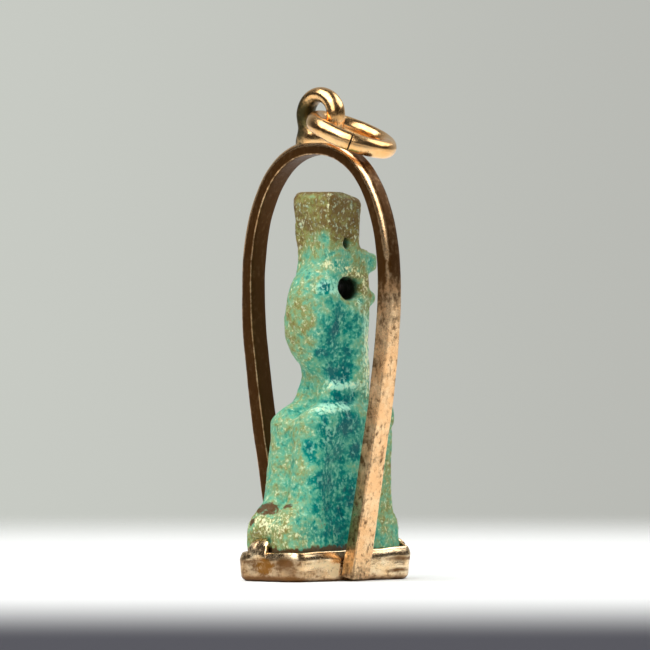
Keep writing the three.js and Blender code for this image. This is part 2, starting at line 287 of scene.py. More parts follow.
@dataclass(frozen=True)
class WornGlaze:
    """Copper-blue faience glaze, thick in the hollows and worn to the body on what stands out."""

    shades: tuple[tuple[float, Triple], ...] = (
        (0.0, (0.0, 0.13, 0.13)),
        (0.2, (0.0, 0.23, 0.18)),
        (0.38, (0.1, 0.42, 0.28)),
        (0.54, (0.21, 0.43, 0.24)),
        (0.68, (0.27, 0.33, 0.12)),
        (0.84, (0.26, 0.22, 0.06)),
        (1.0, (0.17, 0.105, 0.03)),
    )
    milky: Triple = (0.45, 0.86, 0.66)
    cream: Triple = (0.95, 0.95, 0.56)
    speck: Triple = (0.1, 0.1, 0.02)
    umber: Triple = (0.085, 0.018, 0.004)
    # colour of the painted shade deep in the bore, in the pit and along the foot
    shade_colour: Triple = (0.006, 0.009, 0.002)
    middle_scale: float = 1.3
    fine_scale: float = 4.5
    grit_scale: float = 6.5
    grit_stretch: Triple = (1.0, 1.0, 0.75)
    streak_scale: float = 2.4
    streak_stretch: Triple = (1.3, 1.3, 0.8)
    veil_range: Pair = (1.03, 1.22)
    bare_range: Pair = (0.25, 0.6)
    fleck_range: Pair = (0.72, 0.88)
    speck_range: Pair = (0.44, 0.66)
    speck_share: float = 0.65
    stain_range: Pair = (0.42, 0.8)
    stain_share: float = 0.88
    roughness: float = 0.27
    coat: float = 0.06
    coat_roughness: float = 0.15
    refraction: float = 1.4
    specular: float = 0.25

    def material(self) -> bpy.types.Material:
        """Builds the finish from the mesh's numbers for wear, dirt and shade, veil and highlight, and chalk
        and highlight, and darkens it by painted shade in the bore, the pit and at the foot.

        Returns:
            The material.
        """
        material, graph = new_material("worn_glaze")
        place = graph.place()
        middle = graph.noise(place, self.middle_scale, 4.0, 0.6)
        fine = graph.noise(place, self.fine_scale, 3.0, 0.6)
        grit = graph.noise(graph.place(self.grit_stretch), self.grit_scale, 3.0, 0.6)
        streak = graph.noise(graph.place(self.streak_stretch), self.streak_scale, 4.0, 0.6)
        worn = graph.attribute("worn")
        dirt_and_shade = graph.attribute("dirt_and_shade")
        veil_and_highlight = graph.attribute("veil_and_highlight")
        chalk_and_highlight = graph.attribute("chalk_and_highlight")

        shade = worn + (middle - 0.5) * 1.1 + (streak - 0.5) * 0.25 + (fine - 0.5) * 0.7
        colour = graph.node("ShaderNodeValToRGB", {"stops": self.shades}, {"Fac": shade})
        # the glaze's own milky veil, which on the lap's two ridges also paints their highlight
        veil = (streak * 0.6 + fine * 0.9 + grit * 0.5 + veil_and_highlight * 0.2).between(*self.veil_range)
        colour = graph.mix(veil * (0.35 + veil_and_highlight * 0.5), colour, self.milky)
        bare = worn.between(*self.bare_range)
        # cream flecks of the bare body, which on the lap's ridges also paint their highlight
        flecks = grit * 0.6 + fine * 0.5 + middle * 0.2 + bare * 0.04 + chalk_and_highlight * 0.08
        flecks = flecks.between(*self.fleck_range)
        colour = graph.mix(flecks * (bare * 0.5 + 0.1 + chalk_and_highlight * 0.35), colour, self.cream)
        specks = (1.0 - grit * 0.6 - streak * 0.5).between(*self.speck_range)
        colour = graph.mix(specks * bare * self.speck_share, colour, self.speck)
        # stains follow the mesh's dirt, which along the foot also carries painted shade
        stains = (dirt_and_shade + (fine - 0.5) * 1.3 + (middle - 0.5) * 1.5).between(*self.stain_range)
        colour = graph.mix(stains * self.stain_share, colour, self.umber)
        # painted shade: darkens the inside of the bore, the pit and the foot's lowest edge
        colour = graph.mix(graph.attribute("painted_shade"), colour, self.shade_colour)

        roughness = self.roughness + bare * 0.28 + stains * 0.12 + (fine - 0.5) * 0.25
        bent = graph.bump(middle, 0.06, 0.5)
        bent = graph.bump(fine * 0.6 + grit * 0.4, 0.09, 0.8, bent)
        shader = graph.node("ShaderNodeBsdfPrincipled", {}, {
            "Base Color": colour,
            "Roughness": roughness,
            "Normal": bent,
            "Coat Weight": (1.0 - bare) * self.coat,
            "Coat Roughness": self.coat_roughness,
            "IOR": self.refraction,
            "Specular IOR Level": self.specular,
        })
        graph.node("ShaderNodeOutputMaterial", {}, {"Surface": shader})
        return material


@dataclass(frozen=True)
class RoseGold:
    """Low-carat gold with tarnish that the finger rubs off what stands out."""

    name: str
    gold: Triple = (0.86, 0.5, 0.24)
    pale: Triple = (0.95, 0.7, 0.42)
    tarnish: Triple = (0.2, 0.09, 0.028)
    # matt crust; on the arch and the tray it also paints highlights
    crust_and_highlight_colour: Triple = (0.46, 0.3, 0.15)
    amber: Triple = (0.5, 0.2, 0.012)
    tarnish_amount: float = 0.4
    roughness: float = 0.22
    streaks: Triple = (1.0, 1.0, 1.0)
    streak_scale: float = 4.0
    cloud_scale: float = 0.8
    speck_scale: float = 4.5
    cover_range: Pair = (0.66, 0.93)
    most_cover: float = 0.95
    matt_range: Pair = (0.35, 0.8)
    pale_range: Pair = (0.35, 0.65)
    stain_range: Pair = (0.3, 0.8)
    stain_edge: Pair = (0.02, 0.3)

    def material(self) -> bpy.types.Material:
        """Builds the finish: brown tarnish by noise and by the mesh's numbers for tarnish and painted shade,
        for matt crust and painted highlights, and for amber stains.

        Returns:
            The material.
        """
        material, graph = new_material(self.name)
        place = graph.place()
        cloud = graph.noise(place, self.cloud_scale, 4.0, 0.6)
        speck = graph.noise(place, self.speck_scale, 4.0, 0.7)
        drawn = graph.noise(graph.place(self.streaks), self.streak_scale, 3.0, 0.6)
        dirt_and_shade = graph.attribute("dirt_and_shade")
        crust_and_highlight = graph.attribute("crust_and_highlight")
        stained = graph.attribute("stained")

        patches = cloud * 0.2 + speck * 0.45 + drawn * 0.6 + dirt_and_shade * 0.16
        first, full = self.cover_range
        cover = patches.between(first - self.tarnish_amount * 0.2, full - self.tarnish_amount * 0.16)
        # tarnish cover, which on some pieces also carries painted shade
        cover = 1.0 - (1.0 - cover * 0.75) * (1.0 - dirt_and_shade * 0.9)
        cover = cover.between(0.0, self.most_cover)
        # matt crust, which on some pieces also paints highlights
        matt = (crust_and_highlight + (speck - 0.5) * 1.4 + (cloud - 0.5) * 0.8).between(*self.matt_range)
        colour = graph.mix(cloud.between(*self.pale_range) * 0.7, self.gold, self.pale)
        colour = graph.mix(matt, colour, self.crust_and_highlight_colour)
        colour = graph.mix(cover, colour, self.tarnish)
        stain = (stained * 0.75 + (speck - 0.5) * 1.5 + (cloud - 0.5) * 1.2).between(*self.stain_range)
        colour = graph.mix(stain * stained.between(*self.stain_edge) * 0.9, colour, self.amber)
        roughness = self.roughness + cover * 0.25 + matt * 0.3 + (speck - 0.5) * 0.14
        bent = graph.bump(drawn, 0.03, 0.35)
        bent = graph.bump(speck, 0.02, 0.45, bent)
        shader = graph.node("ShaderNodeBsdfPrincipled", {}, {
            "Base Color": colour,
            "Roughness": roughness,
            "Normal": bent,
            "Metallic": 1.0 - cover * 0.05 - matt * 0.6,
        })
        graph.node("ShaderNodeOutputMaterial", {}, {"Surface": shader})
        return material


def bright_gold(name: str, tarnish: Triple, tarnish_amount: float) -> RoseGold:
    """Chooses the redder, brighter gold of the wire on top.

    Args:
        name: the material's name.
        tarnish: colour of its tarnish.
        tarnish_amount: how much of it there is, from 0 to 1.

    Returns:
        The finish.
    """
    return RoseGold(
        name, gold=(0.88, 0.48, 0.18), pale=(0.93, 0.62, 0.31), tarnish=tarnish,
        tarnish_amount=tarnish_amount, roughness=0.22,
    )


def smooth_step(values: Points, low: float, high: float) -> Points:
    """Eases values from 0 at low to 1 at high.

    Args:
        values: the numbers.
        low: where 0 ends.
        high: where 1 begins.

    Returns:
        The eased numbers.
    """
    share = np.clip((values - low) / (high - low), 0.0, 1.0)
    return share * share * (3.0 - 2.0 * share)


def cloudy(points: Points, size: float, octaves: int = 3, shift: float = 0.0) -> Points:
    """Reads fractal noise at many points.

    Args:
        points: one point a row, in millimetres.
        size: size of the largest lumps, in millimetres.
        octaves: number of layers.
        shift: moves the pattern, for a second one that differs.

    Returns:
        Values around 0, mostly within -1 and 1.
    """
    offset = Vector((shift, shift * 0.7, -shift))
    return np.array([
        noise.fractal(Vector(point / size) + offset, FRACTAL_DIMENSION, FRACTAL_LACUNARITY, octaves)
        for point in points
    ])


def ramp(share: float, rate: float, start: float) -> float:
    """Grows with the share at that rate, less the start, and stays within 0 and 1."""
    return min(max(share * rate - start, 0.0), 1.0)


def add_numbers(mesh: bpy.types.Mesh, name: str, values: Points) -> None:
    """Stores one number for each vertex, for the materials to read."""
    layer = mesh.attributes.new(name, "FLOAT", "POINT")
    layer.data.foreach_set("value", np.ascontiguousarray(values, dtype=np.float32))


def make_piece(
    name: str,
    points: Points,
    faces: Faces,
    nodes: Iterable[str],
    material: bpy.types.Material,
    numbers: dict[str, Points] | None = None,
) -> bpy.types.Object:
    """Makes one piece of the amulet and ties it to the frame.

    Args:
        name: the piece's name.
        points: its vertices in millimetres.
        faces: its faces.
        nodes: the solids that it stands for.
        material: its finish.
        numbers: values for each vertex, by name.

    Returns:
        The new object.
    """
    mesh = bpy.data.meshes.new(name)
    mesh.from_pydata((points * MM).tolist(), [], faces)
    mesh.validate()
    mesh.shade_smooth()
    for label, values in (numbers or {}).items():
        add_numbers(mesh, label, values)
    piece = bpy.data.objects.new(name, mesh)
    bpy.context.scene.collection.objects.link(piece)
    mesh.materials.append(material)
    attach(piece, BODY)
    for node in nodes:
        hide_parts(node)
    LOG.info("%s: %d vertices, %d faces", name, len(mesh.vertices), len(mesh.polygons))
    return piece


def loft(rings: Sequence[Points], closed: bool = False) -> tuple[Points, Faces]:
    """Skins a row of rings that all have the same number of points.

    Args:
        rings: the rings, each one point a row.
        closed: whether the last ring joins the first one.

    Returns:
        The vertices and the faces.
    """
    count = len(rings[0])
    levels = len(rings)
    faces: Faces = []
    for level in range(levels if closed else levels - 1):
        low = level * count
        high = (level + 1) % levels * count
        for i in range(count):
            j = (i + 1) % count
            faces.append((low + i, low + j, high + j, high + i))
    if not closed:
        faces.append(tuple(range(count - 1, -1, -1)))
        faces.append(tuple(range((levels - 1) * count, levels * count)))
    return np.concatenate(rings), faces


def joined(parts: Sequence[tuple[Points, Faces]]) -> tuple[Points, Faces]:
    """Puts several shapes into one list of vertices and faces.

    Args:
        parts: the vertices and faces of each shape.

    Returns:
        The vertices and faces of them all.
    """
    points: list[Points] = []
    faces: Faces = []
    start = 0
    for part_points, part_faces in parts:
        faces.extend(tuple(start + i for i in face) for face in part_faces)
        points.append(part_points)
        start += len(part_points)
    return np.concatenate(points), faces


def rounded_rectangle(
    half_x: float, half_y: float, corner: float, corner_steps: int, edge_steps: int
) -> Points:
    """Draws a rectangle with round corners, anticlockwise from the +X side.

    Args:
        half_x: half of the width.
        half_y: half of the depth.
        corner: radius of the corners.
        corner_steps: steps round each corner.
        edge_steps: steps along each straight side.

    Returns:
        Its points, with x and y in each row.
    """
    corners = []
    for quarter, (sign_x, sign_y) in enumerate(((1, 1), (-1, 1), (-1, -1), (1, -1))):
        angles = (quarter + np.linspace(0.0, 1.0, corner_steps + 1)) * math.pi / 2
        middle = np.array([sign_x * (half_x - corner), sign_y * (half_y - corner)])
        corners.append(middle + corner * np.column_stack([np.cos(angles), np.sin(angles)]))
    outline = []
    for quarter, arc in enumerate(corners):
        outline.extend(arc)
        following = corners[(quarter + 1) % 4][0]
        for step in range(1, edge_steps):
            outline.append(arc[-1] + (following - arc[-1]) * step / edge_steps)
    return np.array(outline)


@dataclass(frozen=True)
class Patch:
    """A soft-edged zone of a piece, in millimetres, and what it sets there."""

    centre: Triple
    radii: Triple
    value: float = 1.0
    fade: Pair = (0.4, 1.2)

    def weight(self, points: Points) -> Points:
        """Gives its share at each point, full in the middle and none outside."""
        reach = np.linalg.norm((points - np.array(self.centre)) / np.array(self.radii), axis=1)
        return 1.0 - smooth_step(reach, *self.fade)


@dataclass
class FaienceFigure:
    """The moulded figure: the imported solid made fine, then worn, pitted and chipped."""

    voxel: float = 0.1
    smoothing: int = 20
    lump_height: float = 0.07
    grain_height: float = 0.022
    pit_depth: float = 0.07
    lump_size: float = 1.3
    grain_size: float = 0.32
    pit_size: float = 0.5
    pit_range: Pair = (0.38, 0.75)
    weld_distance: float = 1e-4
    firmness: float = 0.72
    firm_heights: Pair = (15.6, 17.4)
    top_flatness: float = 0.9
    top_heights: Pair = (21.6, 22.5)
    flare: float = 0.1
    flare_heights: Pair = (20.8, 22.0)
    waist: Patch = Patch((0.0, -1.7, 20.3), (2.6, 1.2, 0.7), 0.14)
    ridges: int = 2
    ridge_height: float = 0.06
    crest_height: float = 0.05
    crest_line: float = 0.34
    crest_half_width: Pair = (0.03, 0.13)
    crest_side: Pair = (1.8, 2.3)
    crest_heights: Pair = (20.6, 21.4)
    softening: int = 14
    edge_range: Pair = (0.004, 0.05)
    side_wear: float = 0.42
    facing_wear: float = 0.52
    edge_wear: float = 0.14
    crown_wear: float = 0.88
    crown_flank_wear: float = 0.08
    crown_heights: Pair = (18.6, 20.6)
    # darker at the figure's bottom by the tray's rim: the first pair is partly dirt and partly painted
    # shade, the second pair is painted shade
    foot_dirt_and_shade: float = 0.9
    foot_dirt_and_shade_heights: Pair = (1.55, 2.15)
    foot_shade: float = 0.65
    foot_shade_heights: Pair = (1.5, 1.95)
    both_sides: tuple[Patch, ...] = (
        Patch((1.6, 2.0, 13.4), (1.2, 1.4, 3.8), 0.6),
        Patch((2.0, 3.4, 5.5), (1.4, 2.0, 6.0), 0.58),
        Patch((2.0, -1.2, 5.6), (1.5, 3.0, 5.0), 0.24),
        Patch((1.6, -0.7, 13.9), (1.2, 2.0, 3.2), 0.22),
        Patch((1.5, -0.5, 18.2), (0.9, 1.2, 1.0), 0.34),
        Patch((1.9, -1.2, 10.8), (1.3, 2.2, 0.55), 0.05),
    )
    one_side: tuple[Patch, ...] = (
        Patch((2.0, 0.0, 9.2), (0.8, 1.1, 0.9), 0.02),
        Patch((2.0, 0.5, 7.6), (0.8, 0.5, 0.7), 0.03),
        Patch((2.0, -3.0, 7.7), (0.9, 0.5, 0.8), 0.04),
        Patch((2.0, -1.9, 9.5), (0.8, 0.4, 0.35), 0.1),
        Patch((2.0, -2.1, 5.9), (0.8, 1.1, 0.7), 0.05),
        Patch((2.0, 0.1, 5.1), (0.8, 0.6, 0.9), 0.04),
        Patch((2.0, -0.6, 3.2), (0.9, 0.5, 1.2), 0.1),
        Patch((1.6, -0.9, 14.6), (1.1, 0.5, 0.8), 0.04),
        Patch((1.6, -1.6, 13.4), (1.1, 0.5, 0.45), 0.05),
        Patch((1.6, -0.4, 12.3), (1.1, 1.1, 0.8), 0.0),
        Patch((1.6, -1.5, 17.2), (1.1, 0.4, 0.5), 0.12),
        Patch((1.7, 1.3, 15.9), (0.8, 0.9, 0.45), 0.74),
        Patch((1.6, 2.1, 17.0), (0.9, 0.7, 1.2), 0.82),
        Patch((0.0, -3.4, 15.0), (2.6, 1.7, 2.7), 0.76),
        Patch((0.0, -4.4, 2.9), (2.7, 1.9, 2.3), 0.68),
        Patch((0.9, -1.7, 19.9), (0.9, 1.0, 1.2), 0.42),
        Patch((1.6, 1.2, 18.3), (1.0, 1.2, 1.0), 0.7),
        Patch((1.5, -0.3, 19.2), (0.7, 0.6, 0.4), 0.42),
    )
    veils_and_highlights: tuple[Patch, ...] = (
        # the first two lie on the lap's ridges: they shape the ridges and paint their highlight
        Patch((1.9, -0.8, 11.5), (1.2, 2.6, 0.4)),
        Patch((1.9, -1.6, 10.15), (1.2, 2.2, 0.4)),
        Patch((1.5, -0.9, 17.2), (0.9, 1.2, 0.6), 0.6),
        Patch((1.9, 1.0, 16.4), (0.8, 0.4, 0.9), 0.6),
        Patch((1.7, 1.7, 13.4), (0.9, 0.9, 3.2), 0.95),
        Patch((2.0, -1.6, 8.6), (0.8, 0.8, 1.0), 0.3),
    )
    chalk_and_highlights: tuple[Patch, ...] = (
        Patch((1.6, 0.6, 18.0), (0.9, 1.2, 0.5)),
        Patch((1.8, 1.7, 17.1), (0.8, 0.5, 1.1), 0.8),
        Patch((1.2, -3.0, 16.3), (1.0, 0.6, 0.8), 0.7),
        Patch((0.0, -4.5, 3.4), (2.4, 0.9, 0.9), 0.8),
        Patch((1.4, -3.4, 2.6), (1.2, 1.4, 1.0), 0.8),
        Patch((1.8, 1.9, 13.0), (0.9, 0.8, 2.8), 1.3),
        Patch((1.5, -0.5, 18.5), (0.8, 1.3, 0.45), 0.9),
        # these two paint the highlight along the lap's ridges
        Patch((1.9, -0.8, 11.5), (1.2, 2.6, 0.4), 0.8),
        Patch((1.9, -2.0, 10.15), (1.2, 1.6, 0.4), 0.8),
    )
    smuts: tuple[Patch, ...] = (
        Patch((-0.6, -4.3, 4.3), (1.3, 0.9, 0.6), 0.95),
        Patch((0.9, -3.9, 4.2), (0.45, 0.4, 0.55), 1.0),
        Patch((-1.4, -4.7, 3.5), (0.35, 0.4, 0.4), 1.0),
        Patch((1.8, -2.6, 4.25), (0.6, 1.2, 0.4), 0.55),
        Patch((1.9, -2.0, 3.3), (0.6, 1.3, 0.7), 0.35),
        # these two, low at the tray's rim, are partly dirt and partly painted shade in the gap
        Patch((0.0, -4.6, 1.7), (2.4, 0.8, 0.5), 0.55),
        Patch((2.0, -1.0, 1.75), (0.8, 4.2, 0.6), 0.7),
        Patch((-1.2, -1.4, 22.4), (0.7, 0.6, 1.0), 0.3),
        Patch((1.3, -1.4, 22.2), (1.0, 0.8, 0.8), 0.2),
        Patch((1.5, 0.7, 21.7), (0.6, 1.0, 1.1), 0.25),
    )
    bore_y: float = 0.46
    bore_z: float = 17.14
    bore_reach: tuple[float, float] = (1.05, 0.74)
    bore_mouth: float = 0.55
    bore_mouth_range: Pair = (0.82, 1.02)
    # where painted shade darkens the inside of the bore and the pit
    bore_shade_range: Pair = (0.94, 1.06)
    bore_shade_depths: Pair = (0.95, 1.5)
    pit_shade_depths: Pair = (1.1, 1.5)
    shaded_pit: Patch = Patch((1.1, 0.28, 19.75), (0.75, 0.42, 0.6))
    swell: float = 0.045
    back_block_drop: float = 0.5
    back_block_edge: Pair = (2.3, 2.8)
    back_block_rise: Pair = (18.95, 19.95)
    back_block_end: Pair = (20.0, 20.8)

    def build(self) -> bpy.types.Object:
        """Makes the fine figure.

        Returns:
            The piece that stands for the solid.
        """
        points, faces = self._fine_skin()
        links = self._links(faces, len(points))
        stiff = 1.0 - self.firmness * smooth_step(points[:, 2:], *self.firm_heights)
        for _ in range(self.smoothing):
            points = points + (self._averaged(points, links) - points) * stiff
        push = self._normals(points, faces) * self._relief(points)[:, None]
        push[:, 2] *= 1.0 - self.top_flatness * smooth_step(points[:, 2], *self.top_heights)
        points = self._averaged(self._reshaped(points + push), links)
        numbers = self._numbers(points, self._normals(points, faces), links)
        return make_piece(
            "figure", points, faces, ["faience_figure"], WornGlaze().material(), numbers
        )

    def _fine_skin(self) -> tuple[Points, Faces]:
        """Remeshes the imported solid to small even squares.

        Returns:
            The vertices in millimetres and the faces.
        """
        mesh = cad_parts["faience_figure"].data.copy()
        mesh.transform(Matrix.Scale(1.0 / MM, 4))
        draft = bpy.data.objects.new("figure_draft", mesh)
        bpy.context.scene.collection.objects.link(draft)
        weld = draft.modifiers.new("weld", "WELD")
        weld.merge_threshold = self.weld_distance
        remesh = draft.modifiers.new("squares", "REMESH")
        remesh.mode = "VOXEL"
        remesh.voxel_size = self.voxel
        fine = draft.evaluated_get(bpy.context.evaluated_depsgraph_get()).to_mesh()
        points = np.empty(len(fine.vertices) * 3)
        fine.vertices.foreach_get("co", points)
        faces = [tuple(polygon.vertices) for polygon in fine.polygons]
        bpy.data.objects.remove(draft)
        bpy.data.meshes.remove(mesh)
        return points.reshape(-1, 3), faces

    @staticmethod
    def _links(faces: Faces, count: int) -> Links:
        """Lists which vertices are neighbours.

        Args:
            faces: the faces.
            count: number of vertices.

        Returns:
            Both ends of each pair, as two columns, and how many neighbours each vertex has.
        """
        pairs = np.array([(face[i], face[i - 1]) for face in faces for i in range(len(face))])
        pairs = np.unique(np.concatenate([pairs, pairs[:, ::-1]]), axis=0)
        return pairs[:, 0], pairs[:, 1], np.bincount(pairs[:, 0], minlength=count)

    @staticmethod
    def _averaged(values: Points, links: Links) -> Points:
        """Moves each vertex half of the way to the middle of its neighbours.

        Args:
            values: the vertices.
            links: the neighbours.

        Returns:
            The moved vertices.
        """
        here, there, counts = links
        near = np.column_stack([
            np.bincount(here, weights=values[there, axis], minlength=len(values)) for axis in range(3)
        ])
        return 0.5 * values + 0.5 * near / counts[:, None]

    @staticmethod
    def _normals(points: Points, faces: Faces) -> Points:
        """Works out the outward direction at each vertex.

        Args:
            points: the vertices.
            faces: the faces.

        Returns:
            One direction a row, of length 1.
        """
        corners = np.array([face[:4] if len(face) > 3 else (*face, face[-1]) for face in faces])
        diagonal_a = points[corners[:, 2]] - points[corners[:, 0]]
        diagonal_b = points[corners[:, 3]] - points[corners[:, 1]]
        across = np.cross(diagonal_a, diagonal_b)
        total = np.zeros_like(points)
        for column in range(4):
            for axis in range(3):
                total[:, axis] += np.bincount(corners[:, column], across[:, axis], len(points))
        return total / np.maximum(np.linalg.norm(total, axis=1, keepdims=True), 1e-12)

    def _relief(self, points: Points) -> Points:
        """Measures the worn surface over the smooth one: lumps, grain, pits and ridges.

        Args:
            points: the vertices.

        Returns:
            Its height at each vertex.
        """
        lumps = self.lump_height * cloudy(points, self.lump_size, 3)
        grain = self.grain_height * cloudy(points, self.grain_size, 2, 5.0)
        pitted = smooth_step(cloudy(points, self.pit_size, 2, 11.0), *self.pit_range)
        ridges = sum(patch.weight(points) for patch in self.veils_and_highlights[:self.ridges])
        flare = self.flare * smooth_step(points[:, 2], *self.flare_heights)
        waist = self.waist.value * self.waist.weight(points)
        form = self.swell + flare - waist + self.ridge_height * ridges
        form = form + self.crest_height * self._crest(points)
        return form + lumps + grain - self.pit_depth * pitted

    def _crest(self, points: Points) -> Points:
        """Finds the sharp upright edge at the crown's front corner.

        Args:
            points: the vertices.

        Returns:
            Its share at each vertex.
        """
        off = np.abs(points[:, 0] + points[:, 1] - self.crest_line)
        line = 1.0 - smooth_step(off, *self.crest_half_width)
        corner = smooth_step(points[:, 0] - points[:, 1], *self.crest_side)
        return line * corner * smooth_step(points[:, 2], *self.crest_heights)

    def _off_bore(self, points: Points) -> Points:
        """Distance from the bore's middle line, where 1 is the rim of its worn mouth."""
        reach_y, reach_z = self.bore_reach
        return np.hypot((points[:, 1] - self.bore_y) / reach_y, (points[:, 2] - self.bore_z) / reach_z)

    def _reshaped(self, points: Points) -> Points:
        """Wears the bore's mouths wide, and lowers the top of the block behind the head.

        Args:
            points: the vertices.

        Returns:
            The moved vertices.
        """
        mouth = 1.0 - smooth_step(self._off_bore(points), *self.bore_mouth_range)
        height = points[:, 2]
        block = smooth_step(np.abs(points[:, 0]) + points[:, 1], *self.back_block_edge)
        block = block * smooth_step(height, *self.back_block_rise)
        block = block * (1.0 - smooth_step(height, *self.back_block_end))
        moved = points.copy()
        moved[:, 0] *= 1.0 - self.bore_mouth * mouth
        moved[:, 2] -= self.back_block_drop * block
        return moved

    def _painted_shade(self, points: Points) -> Points:
        """Paints shade deep in the bore and in the pit.

        Args:
            points: the vertices.

        Returns:
            Its share at each vertex.
        """
        deep = 1.0 - smooth_step(np.abs(points[:, 0]), *self.bore_shade_depths)
        bore = (1.0 - smooth_step(self._off_bore(points), *self.bore_shade_range)) * deep
        shaded_pit = self.shaded_pit.weight(points) * (1.0 - smooth_step(points[:, 0], *self.pit_shade_depths))
        return np.clip(bore + shaded_pit, 0.0, 1.0)

    def _numbers(self, points: Points, normals: Points, links: Links) -> dict[str, Points]:
        """Works out where the glaze pooled, wore off or is dirty, and where shade is painted.

        Args:
            points: the vertices.
            normals: the outward directions.
            links: the neighbours.

        Returns:
            A number for each vertex, by name.
        """
        soft = points
        for _ in range(self.softening):
            soft = self._averaged(soft, links)
        standing_out = ((points - soft) * normals).sum(axis=1)
        edges = smooth_step(standing_out, *self.edge_range)
        hollows = smooth_step(-standing_out, *self.edge_range)
        height = points[:, 2]
        crown = smooth_step(height, *self.crown_heights)
        worn = self._worn(points, normals, crown)
        worn += self.edge_wear * edges - self.edge_wear * hollows
        dirt_and_shade = sum(patch.value * patch.weight(points) for patch in self.smuts)
        # partly dirt and partly painted shade along the foot at the tray's rim
        dirt_and_shade = dirt_and_shade + self.foot_dirt_and_shade * (1.0 - smooth_step(height, *self.foot_dirt_and_shade_heights))
        dirt_and_shade = dirt_and_shade + 0.1 * crown + 0.15 * hollows
        veil_and_highlight = sum(patch.value * patch.weight(points) for patch in self.veils_and_highlights)
        chalk_and_highlight = sum(patch.value * patch.weight(points) for patch in self.chalk_and_highlights) + 1.3 * self._crest(points)
        foot_shade = self.foot_shade * (1.0 - smooth_step(height, *self.foot_shade_heights))
        return {
            "worn": np.clip(worn, 0.0, 1.1),
            "dirt_and_shade": np.clip(dirt_and_shade, 0.0, 1.2),
            "veil_and_highlight": np.clip(veil_and_highlight, 0.0, 1.0),
            "chalk_and_highlight": np.clip(chalk_and_highlight, 0.0, 1.6),
            # painted shade: the bore, the pit and the foot's lowest edge at the tray's rim
            "painted_shade": np.maximum(self._painted_shade(points), foot_shade),
        }

    def _worn(self, points: Points, normals: Points, crown: Points) -> Points:
        """Works out how far the glaze wore off, from the zones and the side that faces out.

        Args:
            points: the vertices.
            normals: the outward directions.
            crown: share of the crown at each vertex.

        Returns:
            The wear at each vertex.
        """
        folded = points.copy()
        folded[:, 0] = np.abs(folded[:, 0])
        worn = np.full(len(points), self.side_wear)
        for patch in self.both_sides:
            worn += (patch.value - worn) * patch.weight(folded)
        front = smooth_step(-normals[:, 1], 0.3, 1.0)
        back = smooth_step(normals[:, 1], 0.3, 1.0)
        worn += (self.facing_wear - worn) * np.maximum(front, 0.8 * back)
        flank = smooth_step(normals[:, 0], 0.3, 0.8)
        worn += (self.crown_wear + self.crown_flank_wear * flank - worn) * crown
        for patch in self.one_side:
            worn += (patch.value - worn) * patch.weight(points)
        return worn


